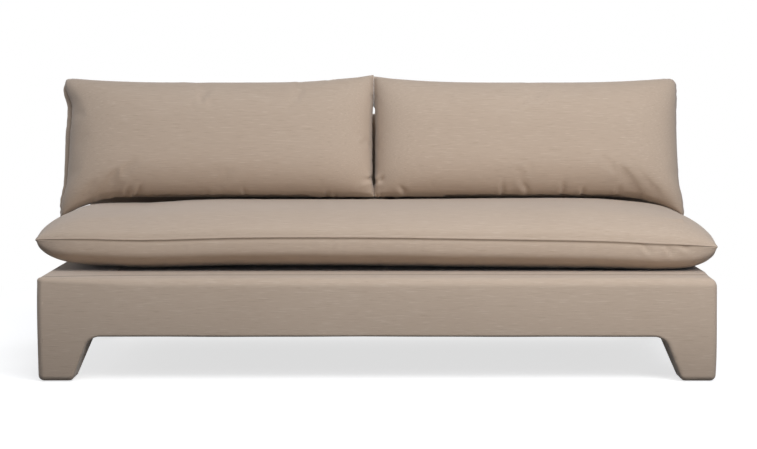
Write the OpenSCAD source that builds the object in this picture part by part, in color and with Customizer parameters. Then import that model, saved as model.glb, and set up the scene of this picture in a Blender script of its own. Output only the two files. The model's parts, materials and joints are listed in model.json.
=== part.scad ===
// Armless sofa with upholstered legs, a bench seat cushion and two loose back cushions.
// X runs to the right, Y from front to rear and Z up. The origin is on the floor,
// at the middle of the whole sofa's box. All sizes are in millimetres.

/* [Base] */
// Width of the upholstered base
base_w = 1880; // [1500:10:2300]
// Depth of the upholstered base, front to rear
base_d = 950; // [850:10:1050]
// Height of the deck that the seat cushion lies on
deck_h = 288; // [262:2:330]
// Radius of the upholstered edges and corners
edge_r = 16; // [8:1:26]

/* [Legs] */
// Height of the apron's underside above the floor
leg_h = 128; // [100:1:150]
// Width of a leg where it meets the apron
leg_top_w = 142; // [124:1:170]
// Width of a leg at the floor
foot_w = 92; // [76:1:118]
// Radius of the fillet between a leg and the apron
leg_fillet_r = 28; // [16:1:44]
// Radius of a floor glide
glide_r = 16; // [10:1:24]
// Thickness of a floor glide
glide_h = 3; // [2:0.5:8]

/* [Back] */
// Height of the upholstered back above the floor
back_h = 722; // [660:2:760]
// How much narrower than the base the back is, at each end
back_inset = 16; // [6:1:40]
// Thickness of the back at the deck
back_bottom_d = 150; // [136:1:176]
// Thickness of the back at its top
back_top_d = 125; // [112:1:134]
// Radius of the back's top edge and corners
back_r = 30; // [18:1:40]

/* [Seat cushion] */
// How far the seat cushion's corner tips stand past each end of the base
seat_end_overhang = 45; // [20:1:70]
// How far the seat cushion's front seam stands behind the front of the base
seat_setback = 130; // [80:1:180]
// Height of the seat cushion's seam above the deck
seat_seam_h = 98; // [90:1:110]
// Height of the seat cushion's crown above its seam
seat_top_t = 94; // [80:1:108]
// Fullness of the seat cushion below its seam, before the deck flattens it
seat_bottom_t = 112; // [106:1:130]
// How far each side of the seat cushion draws in between its corners
seat_side_draw = 14; // [0:1:30]
// How far the front of the seat cushion draws in between its corners
seat_front_draw = 6; // [0:1:20]
// Share of the rear seam that the zip takes
seat_zip_share = 0.61; // [0.3:0.01:0.8]

/* [Back cushions] */
// How far the back cushions' corner tips stand past each end of the base
pillow_end_overhang = 30; // [0:1:60]
// Height of a back cushion from seam to seam, along its lean
pillow_h = 368; // [320:2:440]
// Fullness in front of the seam
pillow_front_t = 94; // [70:1:120]
// Fullness behind the seam
pillow_rear_t = 126; // [112:1:140]
// Angle at which a back cushion leans back
pillow_lean = 15; // [12:1:22]
// How far the bottom seam stands in front of the upholstered back
pillow_foot = 158; // [140:1:200]
// Gap between the two back cushions at their corner tips
pillow_gap = 1.6; // [1:0.2:12]
// How far the outer side draws in between its corners
pillow_outer_draw = 10; // [0:1:24]
// How far the side next to the other cushion draws in
pillow_inner_draw = 4; // [0:1:16]
// How far the top seam dips between its corners
pillow_top_draw = 15; // [0:1:30]
// How far the outer bottom corner hangs below the bottom seam
ear_drop = 44; // [0:1:50]
// Share of a bottom seam that the zip takes
pillow_zip_share = 0.55; // [0.3:0.01:0.58]

/* [Upholstery layers] */
// Thickness of the woven cover
fabric_t = 1.5; // [1:0.1:2.4]
// Thickness of the padding round the apron
padding_t = 10; // [5:1:16]
// Thickness of the foam on the deck
deck_foam_t = 34; // [24:1:44]
// Thickness of the felt under the deck foam
felt_t = 3; // [2:0.5:6]
// Width of a webbing strap
webbing_w = 50; // [36:1:70]
// Thickness of a webbing strap
webbing_t = 2; // [1.5:0.1:3]
// Width of the raised band along a cushion's seam
seam_t = 6; // [5:0.2:9]

/* [Timber frame] */
// Thickness of the front and end rails
rail_t = 25; // [18:1:32]
// Thickness of the rear rail, which carries the back
rear_rail_t = 45; // [36:1:60]
// Width and depth of the post on top of a leg
post_w = 62; // [50:1:72]
// Height of a cross rail, as a share of the height from the apron's underside to the webbing
cross_rail_share = 0.6; // [0.4:0.02:0.8]
// Height of the cleat that carries the rear webbing ends
cleat_h = 22; // [16:1:28]
// Depth of the timber in the back
back_timber_d = 70; // [58:1:78]
// Height of the rails in the back
back_rail_h = 60; // [44:1:80]
// Width of the posts in the back
back_post_w = 45; // [36:1:70]
// Thickness of the foam over the back's top and ends
back_pad_t = 20; // [14:1:30]
// Thickness of the back's rear board
board_t = 3; // [2:0.5:6]

/* [Fasteners] */
// Radius of a leg or back bolt
bolt_r = 4; // [3:0.5:5]
// Radius of a bolt's head
bolt_head_r = 7; // [6:0.5:9]
// Height of a bolt's head
bolt_head_h = 5.5; // [4:0.5:7]
// Length of a leg bolt in the rail behind its post
bolt_bite = 16; // [10:1:17]
// Length of a back bolt in the rear rail
back_bolt_bite = 50; // [30:1:80]
// Radius of a washer
washer_r = 10; // [9:0.5:13]
// Thickness of a washer
washer_t = 1.6; // [1:0.1:2.5]
// Radius of a rail screw
screw_r = 2.5; // [2:0.1:3]
// Length of a rail screw
screw_l = 62; // [50:1:80]
// Radius of a rail screw's head
screw_head_r = 5; // [4:0.1:6]
// Thickness of a rail screw's head
screw_head_h = 3; // [2:0.1:4]

/* [Hidden] */

// Clearances, and the overrun of every cut
soft_gap = 0.4;
fit_gap = 0.2;
slide_gap = 0.3;
overrun = 2;

// Where the base stands
half_w = base_w / 2;
front_y = -base_d / 2;
rear_y = base_d / 2;
apron_z = leg_h + fabric_t;
skin_in = fabric_t + padding_t;

// Levels of the deck, from the rails up
rail_top = deck_h - fabric_t - deck_foam_t - felt_t - 2 * webbing_t;
felt_z = rail_top + 2 * webbing_t;
foam_z = felt_z + felt_t;
foam_top = deck_h - fabric_t;

// Slant of a leg's inner faces, and how far the fillet reaches along the apron
leg_flare = atan((leg_top_w - foot_w) / (leg_h - glide_h));
fillet_reach = leg_fillet_r / tan((90 + leg_flare) / 2);

// The timber frame's faces
timber_x = half_w - skin_in;
timber_front = front_y + skin_in;
timber_rear = rear_y - skin_in;
rear_rail_front = timber_rear - rear_rail_t;
inner_front = timber_front + rail_t;
inner_x = timber_x - rail_t;
cross_share = 0.36;
cross_x = half_w * cross_share;

// Webbing
strap_count = 12;
side_strap_count = 4;
strap_span_share = 0.86;
side_strap_span_share = 0.62;
clip_d_share = 0.24;
clip_t_share = 0.6;

// The deck cloth and the opening under the base
deck_cloth_in_share = 0.2;
deck_cloth_in = base_d * deck_cloth_in_share;
dust_in_share = 1.5;
dust_in = (skin_in + rail_t) / dust_in_share;
dust_x = half_w - leg_top_w - leg_fillet_r - dust_in;

// The upholstered back
back_half_w = half_w - back_inset;
back_front_low = rear_y - back_bottom_d;
back_front_top = rear_y - back_top_d;
back_rise = back_h - deck_h;
back_slope = (back_bottom_d - back_top_d) / back_rise;
board_front = rear_y - fabric_t - board_t;
back_timber_front = board_front - back_timber_d;
back_timber_x = back_half_w - fabric_t - back_pad_t;
back_timber_top = back_h - fabric_t - back_pad_t;
back_strap_count = 9;
back_strap_span_share = 0.84;
back_bolt_shares = [-0.82, -0.28, 0.28, 0.82];
back_bolt_y = (rear_rail_front + timber_rear) / 2;

// Leg bolts stand in two rows on each post
leg_bolt_shares = [0.3, 0.7];
post_h = rail_top - apron_z;
cross_rail_h = post_h * cross_rail_share;
glide_pin_r = bolt_r / 2;
glide_pin_l = bolt_head_h * 2.5;

// The seat cushion
seat_w = base_w + 2 * seat_end_overhang;
seat_zip_l = seat_w * seat_zip_share;
seat_clear = seam_t * 2;
seat_front = front_y + seat_setback;
seat_rear = rear_y - back_bottom_d - seat_clear;
seat_d = seat_rear - seat_front;
seat_y = (seat_front + seat_rear) / 2;
seat_seam_z = deck_h + seat_seam_h;
seat_columns = 20;
seat_rows = 8;
seat_side_power = 11;
seat_front_power = 2.4;
seat_rear_power = 8;

// A back cushion
pillow_w = half_w + pillow_end_overhang - pillow_gap / 2;
pillow_zip_l = pillow_w * pillow_zip_share;
pillow_columns = 14;
pillow_rows = 9;
pillow_side_power = 6;
pillow_height_power = 3;
pillow_slump_power = 5;
pillow_y = back_front_low - pillow_foot;
ear_start_share = 0.63;
end_gap = seam_t * 4 / 3;
end_gap_power = 6;

// Seam allowance and loft inside the cushions
hem = seam_t * 2;
wrap_hem = hem + seam_t / 3;
wrap_skin = fabric_t + soft_gap;
seat_core_in_share = 0.16;
seat_core_top_share = 0.5;
seat_core_bottom_share = 0.58;
pillow_core_in_share = 0.2;
pillow_core_t_share = 0.6;
core_r_share = 0.3;

// Zips
zip_t = 1;
coil_w = 2;
coil_t = 1.2;
slider_l = 11;
slider_t = 2.7;
slider_drop = zip_t + slide_gap + slider_t;
pillow_z = seat_height(0, pillow_y) + slider_drop + soft_gap;

// Outline of the base from the front or the side, drawn in by k on every edge
module base_outline(width, k) {
    half = width / 2;
    offset(delta = -k)
        offset(r = edge_r, $fn = 24) offset(delta = -edge_r)
        offset(r = -leg_fillet_r, $fn = 28) offset(delta = leg_fillet_r)
        polygon([[-half, glide_h], [foot_w - half, glide_h], [leg_top_w - half, leg_h],
            [half - leg_top_w, leg_h], [half - foot_w, glide_h], [half, glide_h],
            [half, deck_h], [-half, deck_h]]);
}

module plan_outline(width, depth, k) {
    offset(r = edge_r, $fn = 24)
        square([width - 2 * (k + edge_r), depth - 2 * (k + edge_r)], center = true);
}

// The whole base drawn in by k: four flared legs under a plain apron
module base_solid(k) {
    intersection() {
        translate([0, rear_y, 0])
            rotate([90, 0, 0])
            linear_extrude(base_d) base_outline(base_w, k);
        translate([-half_w, (front_y + rear_y) / 2, 0])
            rotate([90, 0, 90])
            linear_extrude(base_w) base_outline(base_d, k);
        translate([0, (front_y + rear_y) / 2, 0])
            linear_extrude(deck_h) plan_outline(base_w, base_d, k);
    }
}

// The upholstered back drawn in by k, its foot cut off at the height of floor_z
module back_solid(k, floor_z) {
    intersection() {
        translate([-back_half_w, 0, 0])
            rotate([90, 0, 90])
            linear_extrude(2 * back_half_w)
            offset(delta = -k)
            offset(r = back_r, $fn = 28) offset(delta = -back_r)
            polygon([[back_front_low - back_slope * deck_h, 0], [rear_y, 0],
                [rear_y, back_h], [back_front_top, back_h]]);
        translate([0, rear_y, 0])
            rotate([90, 0, 0])
            linear_extrude(base_d)
            offset(delta = -k)
            offset(r = back_r, $fn = 28) offset(delta = -back_r)
            polygon([[-back_half_w, 0], [back_half_w, 0], [back_half_w, back_h],
                [-back_half_w, back_h]]);
        translate([-base_w, -base_d, floor_z]) cube([2 * base_w, 2 * base_d, back_h]);
    }
}

// A box from its lowest to its highest corner
module span(low, high) {
    translate(low) cube(high - low);
}

// Timber

module glide_holes(extra) {
    for (sx = [-1, 1], sy = [-1, 1])
        translate([sx * (half_w - foot_w / 2), (front_y + rear_y + sy * (base_d - foot_w)) / 2,
            glide_h - overrun])
            cylinder(h = glide_pin_l + overrun, r = glide_pin_r + extra, $fn = 24);
}

// Bolts through a post into the rail behind it, pointing to the front or the rear
module leg_bolt_shafts(sx, sy, extra) {
    face = sy < 0 ? inner_front + post_w : rear_rail_front - post_w;
    for (share = leg_bolt_shares)
        translate([sx * (inner_x - post_w / 2), face, apron_z + post_h * share])
            rotate([-90 * sy, 0, 180])
            cylinder(h = post_w + bolt_bite + extra, r = bolt_r + extra, $fn = 24);
}

module leg(sx, sy) {
    inner_y = sy < 0 ? inner_front : rear_rail_front - post_w;
    reach = leg_top_w + fillet_reach;
    color("burlywood") difference() {
        union() {
            intersection() {
                base_solid(fabric_t);
                translate([sx * (half_w - reach / 2), (front_y + rear_y + sy * (base_d - reach)) / 2,
                    0])
                    linear_extrude(apron_z) square(reach, center = true);
            }
            translate([sx * (inner_x - post_w / 2) - post_w / 2, inner_y, apron_z - fabric_t])
                cube([post_w, post_w, post_h + fabric_t]);
        }
        glide_holes(fit_gap);
        leg_bolt_shafts(sx, sy, fit_gap);
    }
}

module front_left_leg() { leg(-1, -1); }
module front_right_leg() { leg(1, -1); }
module rear_left_leg() { leg(-1, 1); }
module rear_right_leg() { leg(1, 1); }

module floor_glides() {
    color("dimgray") {
        for (sx = [-1, 1], sy = [-1, 1])
            translate([sx * (half_w - foot_w / 2),
                (front_y + rear_y + sy * (base_d - foot_w)) / 2, 0]) {
                cylinder(h = glide_h, r = glide_r, $fn = 48);
                cylinder(h = glide_h + glide_pin_l - fit_gap, r = glide_pin_r, $fn = 24);
            }
    }
}

// Screws through the front and rear rails into the ends of the rails between them
module rail_screw_set(extra) {
    places = [-timber_x + rail_t / 2, -cross_x, cross_x, timber_x - rail_t / 2];
    for (x = places, level = [apron_z + cross_rail_h / 4, apron_z + cross_rail_h * 3 / 4]) {
        translate([x, timber_front - extra, level])
            rotate([-90, 0, 0]) {
                cylinder(h = screw_l + 2 * extra, r = screw_r + extra, $fn = 20);
                cylinder(h = screw_head_h + 2 * extra, r = screw_head_r + extra, $fn = 24);
            }
        translate([x, timber_rear + extra, level])
            rotate([90, 0, 0]) {
                cylinder(h = screw_l + 2 * extra, r = screw_r + extra, $fn = 20);
                cylinder(h = screw_head_h + 2 * extra, r = screw_head_r + extra, $fn = 24);
            }
    }
}

module rail_screws() {
    color("silver") rail_screw_set(0);
}

module front_rail() {
    color("burlywood") difference() {
        span([-timber_x, timber_front, apron_z], [timber_x, inner_front, rail_top]);
        rail_screw_set(fit_gap);
        for (sx = [-1, 1]) leg_bolt_shafts(sx, -1, fit_gap);
    }
}

module back_bolt_holes(extra) {
    for (share = back_bolt_shares)
        translate([back_timber_x * share, back_bolt_y, deck_h - back_bolt_bite - extra])
            cylinder(h = back_bolt_bite + back_rail_h + 2 * extra, r = bolt_r + extra, $fn = 24);
}

module rear_rail() {
    color("burlywood") difference() {
        intersection() {
            base_solid(fabric_t);
            span([-timber_x, rear_rail_front, apron_z], [timber_x, timber_rear, deck_h]);
        }
        rail_screw_set(fit_gap);
        back_bolt_holes(fit_gap);
        for (sx = [-1, 1]) leg_bolt_shafts(sx, 1, fit_gap);
    }
}

module end_rail(sx) {
    color("burlywood") difference() {
        translate([sx * (timber_x - rail_t / 2) - rail_t / 2, inner_front, apron_z])
            cube([rail_t, rear_rail_front - inner_front, rail_top + webbing_t - apron_z]);
        rail_screw_set(fit_gap);
    }
}

module left_end_rail() { end_rail(-1); }
module right_end_rail() { end_rail(1); }

module cross_rail(sx) {
    color("burlywood") difference() {
        translate([sx * cross_x - rail_t / 2, inner_front, apron_z])
            cube([rail_t, rear_rail_front - inner_front, cross_rail_h]);
        rail_screw_set(fit_gap);
    }
}

module left_cross_rail() { cross_rail(-1); }
module right_cross_rail() { cross_rail(1); }

module webbing_cleat() {
    color("burlywood")
        span([-inner_x + post_w, rear_rail_front - cleat_h, rail_top - cleat_h],
            [inner_x - post_w, rear_rail_front, rail_top]);
}

module leg_bolts() {
    color("silver") {
        for (sx = [-1, 1], sy = [-1, 1]) {
            face = sy < 0 ? inner_front + post_w : rear_rail_front - post_w;
            leg_bolt_shafts(sx, sy, 0);
            for (share = leg_bolt_shares)
                translate([sx * (inner_x - post_w / 2), face, apron_z + post_h * share])
                    rotate([90 * sy, 0, 0])
                    cylinder(h = bolt_head_h, r = bolt_head_r, $fn = 6);
        }
    }
}

// Springing and padding of the deck

function strap_x(i) =
    (2 * i / (strap_count - 1) - 1) * inner_x * strap_span_share;

module seat_webbing() {
    color("tan") {
        for (i = [0 : strap_count - 1])
            translate([strap_x(i) - webbing_w / 2, timber_front, rail_top])
                cube([webbing_w, rear_rail_front - timber_front, webbing_t]);
    }
}

module side_webbing() {
    middle = (inner_front + rear_rail_front) / 2;
    reach = (rear_rail_front - inner_front) * side_strap_span_share / 2;
    color("tan") {
        for (i = [0 : side_strap_count - 1])
            translate([-timber_x,
                middle + (2 * i / (side_strap_count - 1) - 1) * reach - webbing_w / 2,
                rail_top + webbing_t])
                cube([2 * timber_x, webbing_w, webbing_t]);
    }
}

module webbing_clips() {
    clip_d = webbing_w * clip_d_share;
    clip_t = webbing_t * clip_t_share;
    color("silver") {
        for (i = [0 : strap_count - 1], y = [inner_front - clip_d - soft_gap, rear_rail_front - clip_d])
            translate([strap_x(i) - webbing_w / 2, y, rail_top + webbing_t])
                cube([webbing_w, clip_d, clip_t]);
    }
}

module deck_felt() {
    color("gray")
        span([-timber_x, timber_front, felt_z], [timber_x, rear_rail_front, foam_z]);
}

module deck_foam() {
    color("khaki") intersection() {
        base_solid(fabric_t);
        span([-half_w, front_y, foam_z], [half_w, rear_rail_front, deck_h]);
    }
}

// One side of the padding round the apron, between its lowest and highest corners
module apron_padding(low, high) {
    color("ivory") intersection() {
        base_solid(fabric_t);
        span(low, high);
    }
}

module front_padding() {
    apron_padding([-half_w, front_y, apron_z], [half_w, timber_front, foam_z]);
}

module rear_padding() {
    apron_padding([-half_w, timber_rear, apron_z], [half_w, rear_y, deck_h]);
}

module left_padding() {
    apron_padding([-half_w, timber_front, apron_z], [-timber_x, timber_rear, foam_z]);
}

module right_padding() {
    apron_padding([timber_x, timber_front, apron_z], [half_w, timber_rear, foam_z]);
}

// Covers of the base

module deck_cloth_area(extra) {
    side = half_w - deck_cloth_in - extra;
    span([-side, front_y + deck_cloth_in + extra, foam_top - extra],
        [side, rear_rail_front - extra, deck_h + overrun]);
}

module dust_cover_area(extra) {
    side = dust_x - extra;
    span([-side, front_y + dust_in + extra, leg_h - overrun],
        [side, rear_y - dust_in - extra, apron_z + extra]);
}

module base_cover() {
    color("tan") difference() {
        base_solid(0);
        base_solid(fabric_t);
        deck_cloth_area(0);
        dust_cover_area(0);
        glide_holes(fit_gap);
        back_bolt_holes(fit_gap);
    }
}

module deck_cloth() {
    color("tan") intersection() {
        base_solid(0);
        deck_cloth_area(fit_gap);
        span([-half_w, front_y, foam_top], [half_w, rear_y, deck_h]);
    }
}

module dust_cover() {
    color("black") intersection() {
        dust_cover_area(fit_gap);
        span([-half_w, front_y, leg_h], [half_w, rear_y, apron_z]);
    }
}

// The upholstered back

module back_bottom_rail() {
    color("burlywood") difference() {
        span([-back_timber_x, back_timber_front, deck_h],
            [back_timber_x, board_front, deck_h + back_rail_h]);
        back_bolt_holes(fit_gap);
    }
}

module back_top_rail() {
    color("burlywood")
        span([-back_timber_x, back_timber_front, back_timber_top - back_rail_h],
            [back_timber_x, board_front, back_timber_top]);
}

module back_post(x) {
    color("burlywood")
        translate([x - back_post_w / 2, back_timber_front, deck_h + back_rail_h])
        cube([back_post_w, back_timber_d, back_timber_top - deck_h - 2 * back_rail_h]);
}

module back_left_post() { back_post(back_post_w / 2 - back_timber_x); }
module back_right_post() { back_post(back_timber_x - back_post_w / 2); }
module back_centre_post() { back_post(0); }

module back_webbing() {
    low = deck_h + back_rail_h / 2;
    high = back_timber_top - back_rail_h / 2;
    color("tan") {
        for (i = [0 : back_strap_count - 1])
            translate([(2 * i / (back_strap_count - 1) - 1) * back_timber_x
                * back_strap_span_share - webbing_w / 2, back_timber_front - webbing_t, low])
                cube([webbing_w, webbing_t, high - low]);
    }
}

module back_board() {
    color("saddlebrown") intersection() {
        back_solid(fabric_t, deck_h);
        span([-back_half_w, board_front, deck_h], [back_half_w, rear_y, back_h]);
    }
}

module back_foam() {
    color("khaki") difference() {
        back_solid(fabric_t, deck_h);
        span([-back_timber_x, back_timber_front - webbing_t, deck_h - overrun],
            [back_timber_x, rear_y, back_timber_top]);
        span([-half_w, board_front, deck_h - overrun], [half_w, rear_y, back_h]);
    }
}

module back_cover() {
    color("tan") difference() {
        back_solid(0, deck_h);
        back_solid(fabric_t, deck_h - overrun);
    }
}

module back_bolts() {
    color("silver") {
        for (share = back_bolt_shares)
            translate([back_timber_x * share, back_bolt_y, deck_h - back_bolt_bite]) {
                cylinder(h = back_bolt_bite + back_rail_h + washer_t, r = bolt_r, $fn = 24);
                translate([0, 0, back_bolt_bite + back_rail_h + washer_t])
                    cylinder(h = bolt_head_h, r = bolt_head_r, $fn = 6);
            }
    }
}

module back_washers() {
    color("silver") {
        for (share = back_bolt_shares)
            translate([back_timber_x * share, back_bolt_y, deck_h + back_rail_h])
                difference() {
                    cylinder(h = washer_t, r = washer_r, $fn = 36);
                    translate([0, 0, -overrun])
                        cylinder(h = washer_t + 2 * overrun, r = bolt_r + fit_gap, $fn = 24);
                }
    }
}

// Cushions. A cushion is two crowned faces on one grid, joined by a narrow band at the seam.

// Grid stations from -1 to 1, closer together near the seams
function station(i, count) = sin(180 * i / count - 90);

// Loft of a cushion, 1 in the middle and 0 at the seam
function loft(share, power) = sqrt(max(0, 1 - pow(abs(share), power)));

function grid_faces(columns, rows) =
    let (line = rows + 1, face = (columns + 1) * line)
    concat(
        [for (i = [0 : columns - 1], j = [0 : rows - 1])
            let (a = i * line + j) each [[a, a + line, a + 1], [a + 1, a + line, a + line + 1]]],
        [for (i = [0 : columns - 1], j = [0 : rows - 1])
            let (a = face + i * line + j)
            each [[a, a + 1, a + line], [a + 1, a + line + 1, a + line]]],
        [for (i = [0 : columns - 1])
            let (a = i * line, b = a + line)
            each [[a, a + face, b], [b, a + face, b + face]]],
        [for (i = [0 : columns - 1])
            let (a = i * line + rows, b = a + line)
            each [[a, b, a + face], [b, b + face, a + face]]],
        [for (j = [0 : rows - 1])
            let (a = j, b = j + 1)
            each [[a, b, a + face], [b, b + face, a + face]]],
        [for (j = [0 : rows - 1])
            let (a = columns * line + j, b = a + 1)
            each [[a, a + face, b], [b, a + face, b + face]]]);

// A point of the seat cushion, drawn in at the seam by edge_in and at its faces by face_in
function seat_point(u, v, up, edge_in, face_in) =
    let (
        x = u * (seat_w / 2 - edge_in - seat_side_draw * (1 - v * v)),
        front_draw = v < 0 ? seat_front_draw * (1 - pow(u, 4)) : 0,
        y = v * (seat_d / 2 - edge_in - front_draw),
        t = loft(u, seat_side_power) * loft(v, v < 0 ? seat_front_power : seat_rear_power),
        band = seam_t / 2 - face_in,
        high = seat_seam_z + band + (seat_top_t - face_in) * t,
        low = seat_seam_z - band - (seat_bottom_t - face_in) * t
    )
    [x, seat_y + y, up ? high : max(low, deck_h + soft_gap + face_in)];

module seat_form(edge_in, face_in) {
    points = [for (up = [false, true], i = [0 : seat_columns], j = [0 : seat_rows])
        seat_point(station(i, seat_columns), station(j, seat_rows), up, edge_in, face_in)];
    polyhedron(points, grid_faces(seat_columns, seat_rows));
}

// Height of the seat cushion's top under a point
function seat_height(x, y) =
    let (
        v = (y - seat_y) / (seat_d / 2),
        u = x / (seat_w / 2 - seat_side_draw * (1 - v * v))
    )
    abs(u) > 1 || abs(v) > 1 ? 0
        : seat_seam_z + seam_t / 2 + seat_top_t * loft(u, seat_side_power)
            * loft(v, v < 0 ? seat_front_power : seat_rear_power);

// A point of the back cushion on side sx, with v along its height and t square to its lean
function pillow_point(sx, u, v, front, edge_in, face_in) =
    let (
        outward = u * sx > 0,
        side_draw = outward ? pillow_outer_draw : pillow_inner_draw,
        middle = sx * (pillow_gap + pillow_w) / 2,
        x = middle + u * (pillow_w / 2 - edge_in - side_draw * (1 - v * v)),
        ear = outward ? max(0, (abs(u) - ear_start_share) / (1 - ear_start_share)) : 0,
        low = edge_in - ear_drop * ear * ear,
        high = pillow_h - edge_in - pillow_top_draw * (1 - pow(u, 4)),
        w = low + (high - low) * (1 + v) / 2,
        slumped = v < 0 && !front,
        t = loft(u, pillow_side_power)
            * loft(v, slumped ? pillow_slump_power : pillow_height_power),
        band = seam_t / 2 - face_in,
        out = front ? -band - (pillow_front_t - face_in) * t
            : band + (pillow_rear_t - face_in) * t,
        z = pillow_z + w * cos(pillow_lean) - out * sin(pillow_lean),
        back_limit = back_front_low + (z - deck_h) * back_slope - soft_gap - face_in,
        y = min(pillow_y + w * sin(pillow_lean) + out * cos(pillow_lean), back_limit),
        clear = soft_gap + face_in + end_gap * pow(abs(x) / half_w, end_gap_power)
    )
    [x, y, max(z, seat_height(x, y) + clear)];

module pillow_form(sx, edge_in, face_in) {
    points = [for (front = [false, true], i = [0 : pillow_columns], j = [0 : pillow_rows])
        pillow_point(sx, station(i, pillow_columns), station(j, pillow_rows), front,
            edge_in, face_in)];
    polyhedron(points, grid_faces(pillow_columns, pillow_rows));
}

module seat_cover() {
    color("tan") difference() {
        seat_form(0, 0);
        seat_form(hem, fabric_t);
    }
}

module seat_core_form(extra) {
    inset = seat_d * seat_core_in_share;
    low = seat_seam_z - seat_bottom_t * seat_core_bottom_share;
    high = seat_seam_z + seat_top_t * seat_core_top_share;
    corner = inset * core_r_share;
    translate([0, seat_y, low - extra])
        linear_extrude(high - low + 2 * extra)
        offset(r = corner, $fn = 24)
        square([seat_w - 2 * (inset + corner - extra), seat_d - 2 * (inset + corner - extra)],
            center = true);
}

module seat_wrap() {
    color("white") difference() {
        seat_form(wrap_hem, wrap_skin);
        seat_core_form(soft_gap);
    }
}

module seat_core() {
    color("khaki") seat_core_form(0);
}

// A zip lies along X under the band of a seam, its slider at the right-hand end
module zip_track(length) {
    color("dimgray") {
        translate([-length / 2, -seam_t / 2, -zip_t]) cube([length, seam_t, zip_t]);
        translate([-length / 2, -coil_w / 2, -zip_t - coil_t]) cube([length, coil_w, coil_t]);
    }
}

module zip_slider(length) {
    color("silver") difference() {
        translate([length / 2 - 2 * slider_l, -seam_t / 2, -slider_drop])
            cube([slider_l, seam_t, slider_t]);
        translate([length / 2 - 2 * slider_l - overrun, -coil_w / 2 - slide_gap,
            -zip_t - coil_t - slide_gap])
            cube([slider_l + 2 * overrun, coil_w + 2 * slide_gap, coil_t + overrun]);
    }
}

module seat_zip_place() {
    translate([0, seat_rear, seat_seam_z]) rotate([90, 0, 0]) children();
}

module seat_zip() {
    seat_zip_place() zip_track(seat_zip_l);
}

module seat_zip_slider() {
    seat_zip_place() zip_slider(seat_zip_l);
}

module pillow_place(sx) {
    translate([sx * (pillow_gap + pillow_w) / 2, pillow_y, pillow_z])
        rotate([-pillow_lean, 0, 0])
        children();
}

module pillow_cover(sx) {
    color("tan") difference() {
        pillow_form(sx, 0, 0);
        pillow_form(sx, hem, fabric_t);
    }
}

module pillow_core_form(sx, extra) {
    inset = pillow_h * pillow_core_in_share;
    front = pillow_front_t * pillow_core_t_share;
    rear = pillow_front_t * pillow_core_t_share;
    corner = inset * core_r_share;
    pillow_place(sx)
        translate([0, -front - extra, (pillow_h - pillow_top_draw) / 2])
        rotate([-90, 0, 0])
        linear_extrude(front + rear + 2 * extra)
        offset(r = corner, $fn = 24)
        square([pillow_w - 2 * (inset + corner - extra), pillow_h - 2 * (inset + corner - extra)],
            center = true);
}

module pillow_wrap(sx) {
    color("white") difference() {
        pillow_form(sx, wrap_hem, wrap_skin);
        pillow_core_form(sx, soft_gap);
    }
}

module pillow_core(sx) {
    color("khaki") pillow_core_form(sx, 0);
}

module left_pillow_cover() { pillow_cover(-1); }
module left_pillow_wrap() { pillow_wrap(-1); }
module left_pillow_core() { pillow_core(-1); }
module left_pillow_zip() { pillow_place(-1) zip_track(pillow_zip_l); }
module left_pillow_slider() { pillow_place(-1) zip_slider(pillow_zip_l); }
module right_pillow_cover() { pillow_cover(1); }
module right_pillow_wrap() { pillow_wrap(1); }
module right_pillow_core() { pillow_core(1); }
module right_pillow_zip() { pillow_place(1) zip_track(pillow_zip_l); }
module right_pillow_slider() { pillow_place(1) zip_slider(pillow_zip_l); }

front_left_leg();
front_right_leg();
rear_left_leg();
rear_right_leg();
floor_glides();
front_rail();
rear_rail();
left_end_rail();
right_end_rail();
left_cross_rail();
right_cross_rail();
webbing_cleat();
leg_bolts();
rail_screws();
seat_webbing();
side_webbing();
webbing_clips();
deck_felt();
deck_foam();
front_padding();
rear_padding();
left_padding();
right_padding();
base_cover();
deck_cloth();
dust_cover();
back_bottom_rail();
back_top_rail();
back_left_post();
back_right_post();
back_centre_post();
back_webbing();
back_board();
back_foam();
back_cover();
back_bolts();
back_washers();
seat_cover();
seat_wrap();
seat_core();
seat_zip();
seat_zip_slider();
left_pillow_cover();
left_pillow_wrap();
left_pillow_core();
left_pillow_zip();
left_pillow_slider();
right_pillow_cover();
right_pillow_wrap();
right_pillow_core();
right_pillow_zip();
right_pillow_slider();
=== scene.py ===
import itertools
import json
import math

import bpy
import numpy as np
from mathutils.bvhtree import BVHTree
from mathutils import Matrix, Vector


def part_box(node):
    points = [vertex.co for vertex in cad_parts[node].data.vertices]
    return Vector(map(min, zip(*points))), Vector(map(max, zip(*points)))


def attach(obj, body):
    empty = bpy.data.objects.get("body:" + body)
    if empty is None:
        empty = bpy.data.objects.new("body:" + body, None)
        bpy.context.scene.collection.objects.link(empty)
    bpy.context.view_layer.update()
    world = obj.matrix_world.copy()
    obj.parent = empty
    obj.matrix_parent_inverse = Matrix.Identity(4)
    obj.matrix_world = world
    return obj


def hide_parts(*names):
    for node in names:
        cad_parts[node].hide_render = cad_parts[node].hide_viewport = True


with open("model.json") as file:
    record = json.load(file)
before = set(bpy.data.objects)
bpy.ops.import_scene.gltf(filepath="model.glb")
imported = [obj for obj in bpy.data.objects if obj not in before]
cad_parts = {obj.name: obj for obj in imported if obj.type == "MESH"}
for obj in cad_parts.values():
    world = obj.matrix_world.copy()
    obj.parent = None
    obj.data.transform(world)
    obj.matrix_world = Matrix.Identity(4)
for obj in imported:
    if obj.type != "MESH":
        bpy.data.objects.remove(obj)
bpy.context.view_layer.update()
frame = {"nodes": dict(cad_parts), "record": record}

scene = bpy.context.scene
mm = 0.001
baseLow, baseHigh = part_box("base_cover")
backLow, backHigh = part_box("back_cover")
seatLow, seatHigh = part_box("seat_cover")
deckLow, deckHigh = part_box("deck_cloth")
dustLow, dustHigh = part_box("dust_cover")
deckZ = baseHigh.z
print("frame loaded")


# Objects and nodes

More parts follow.
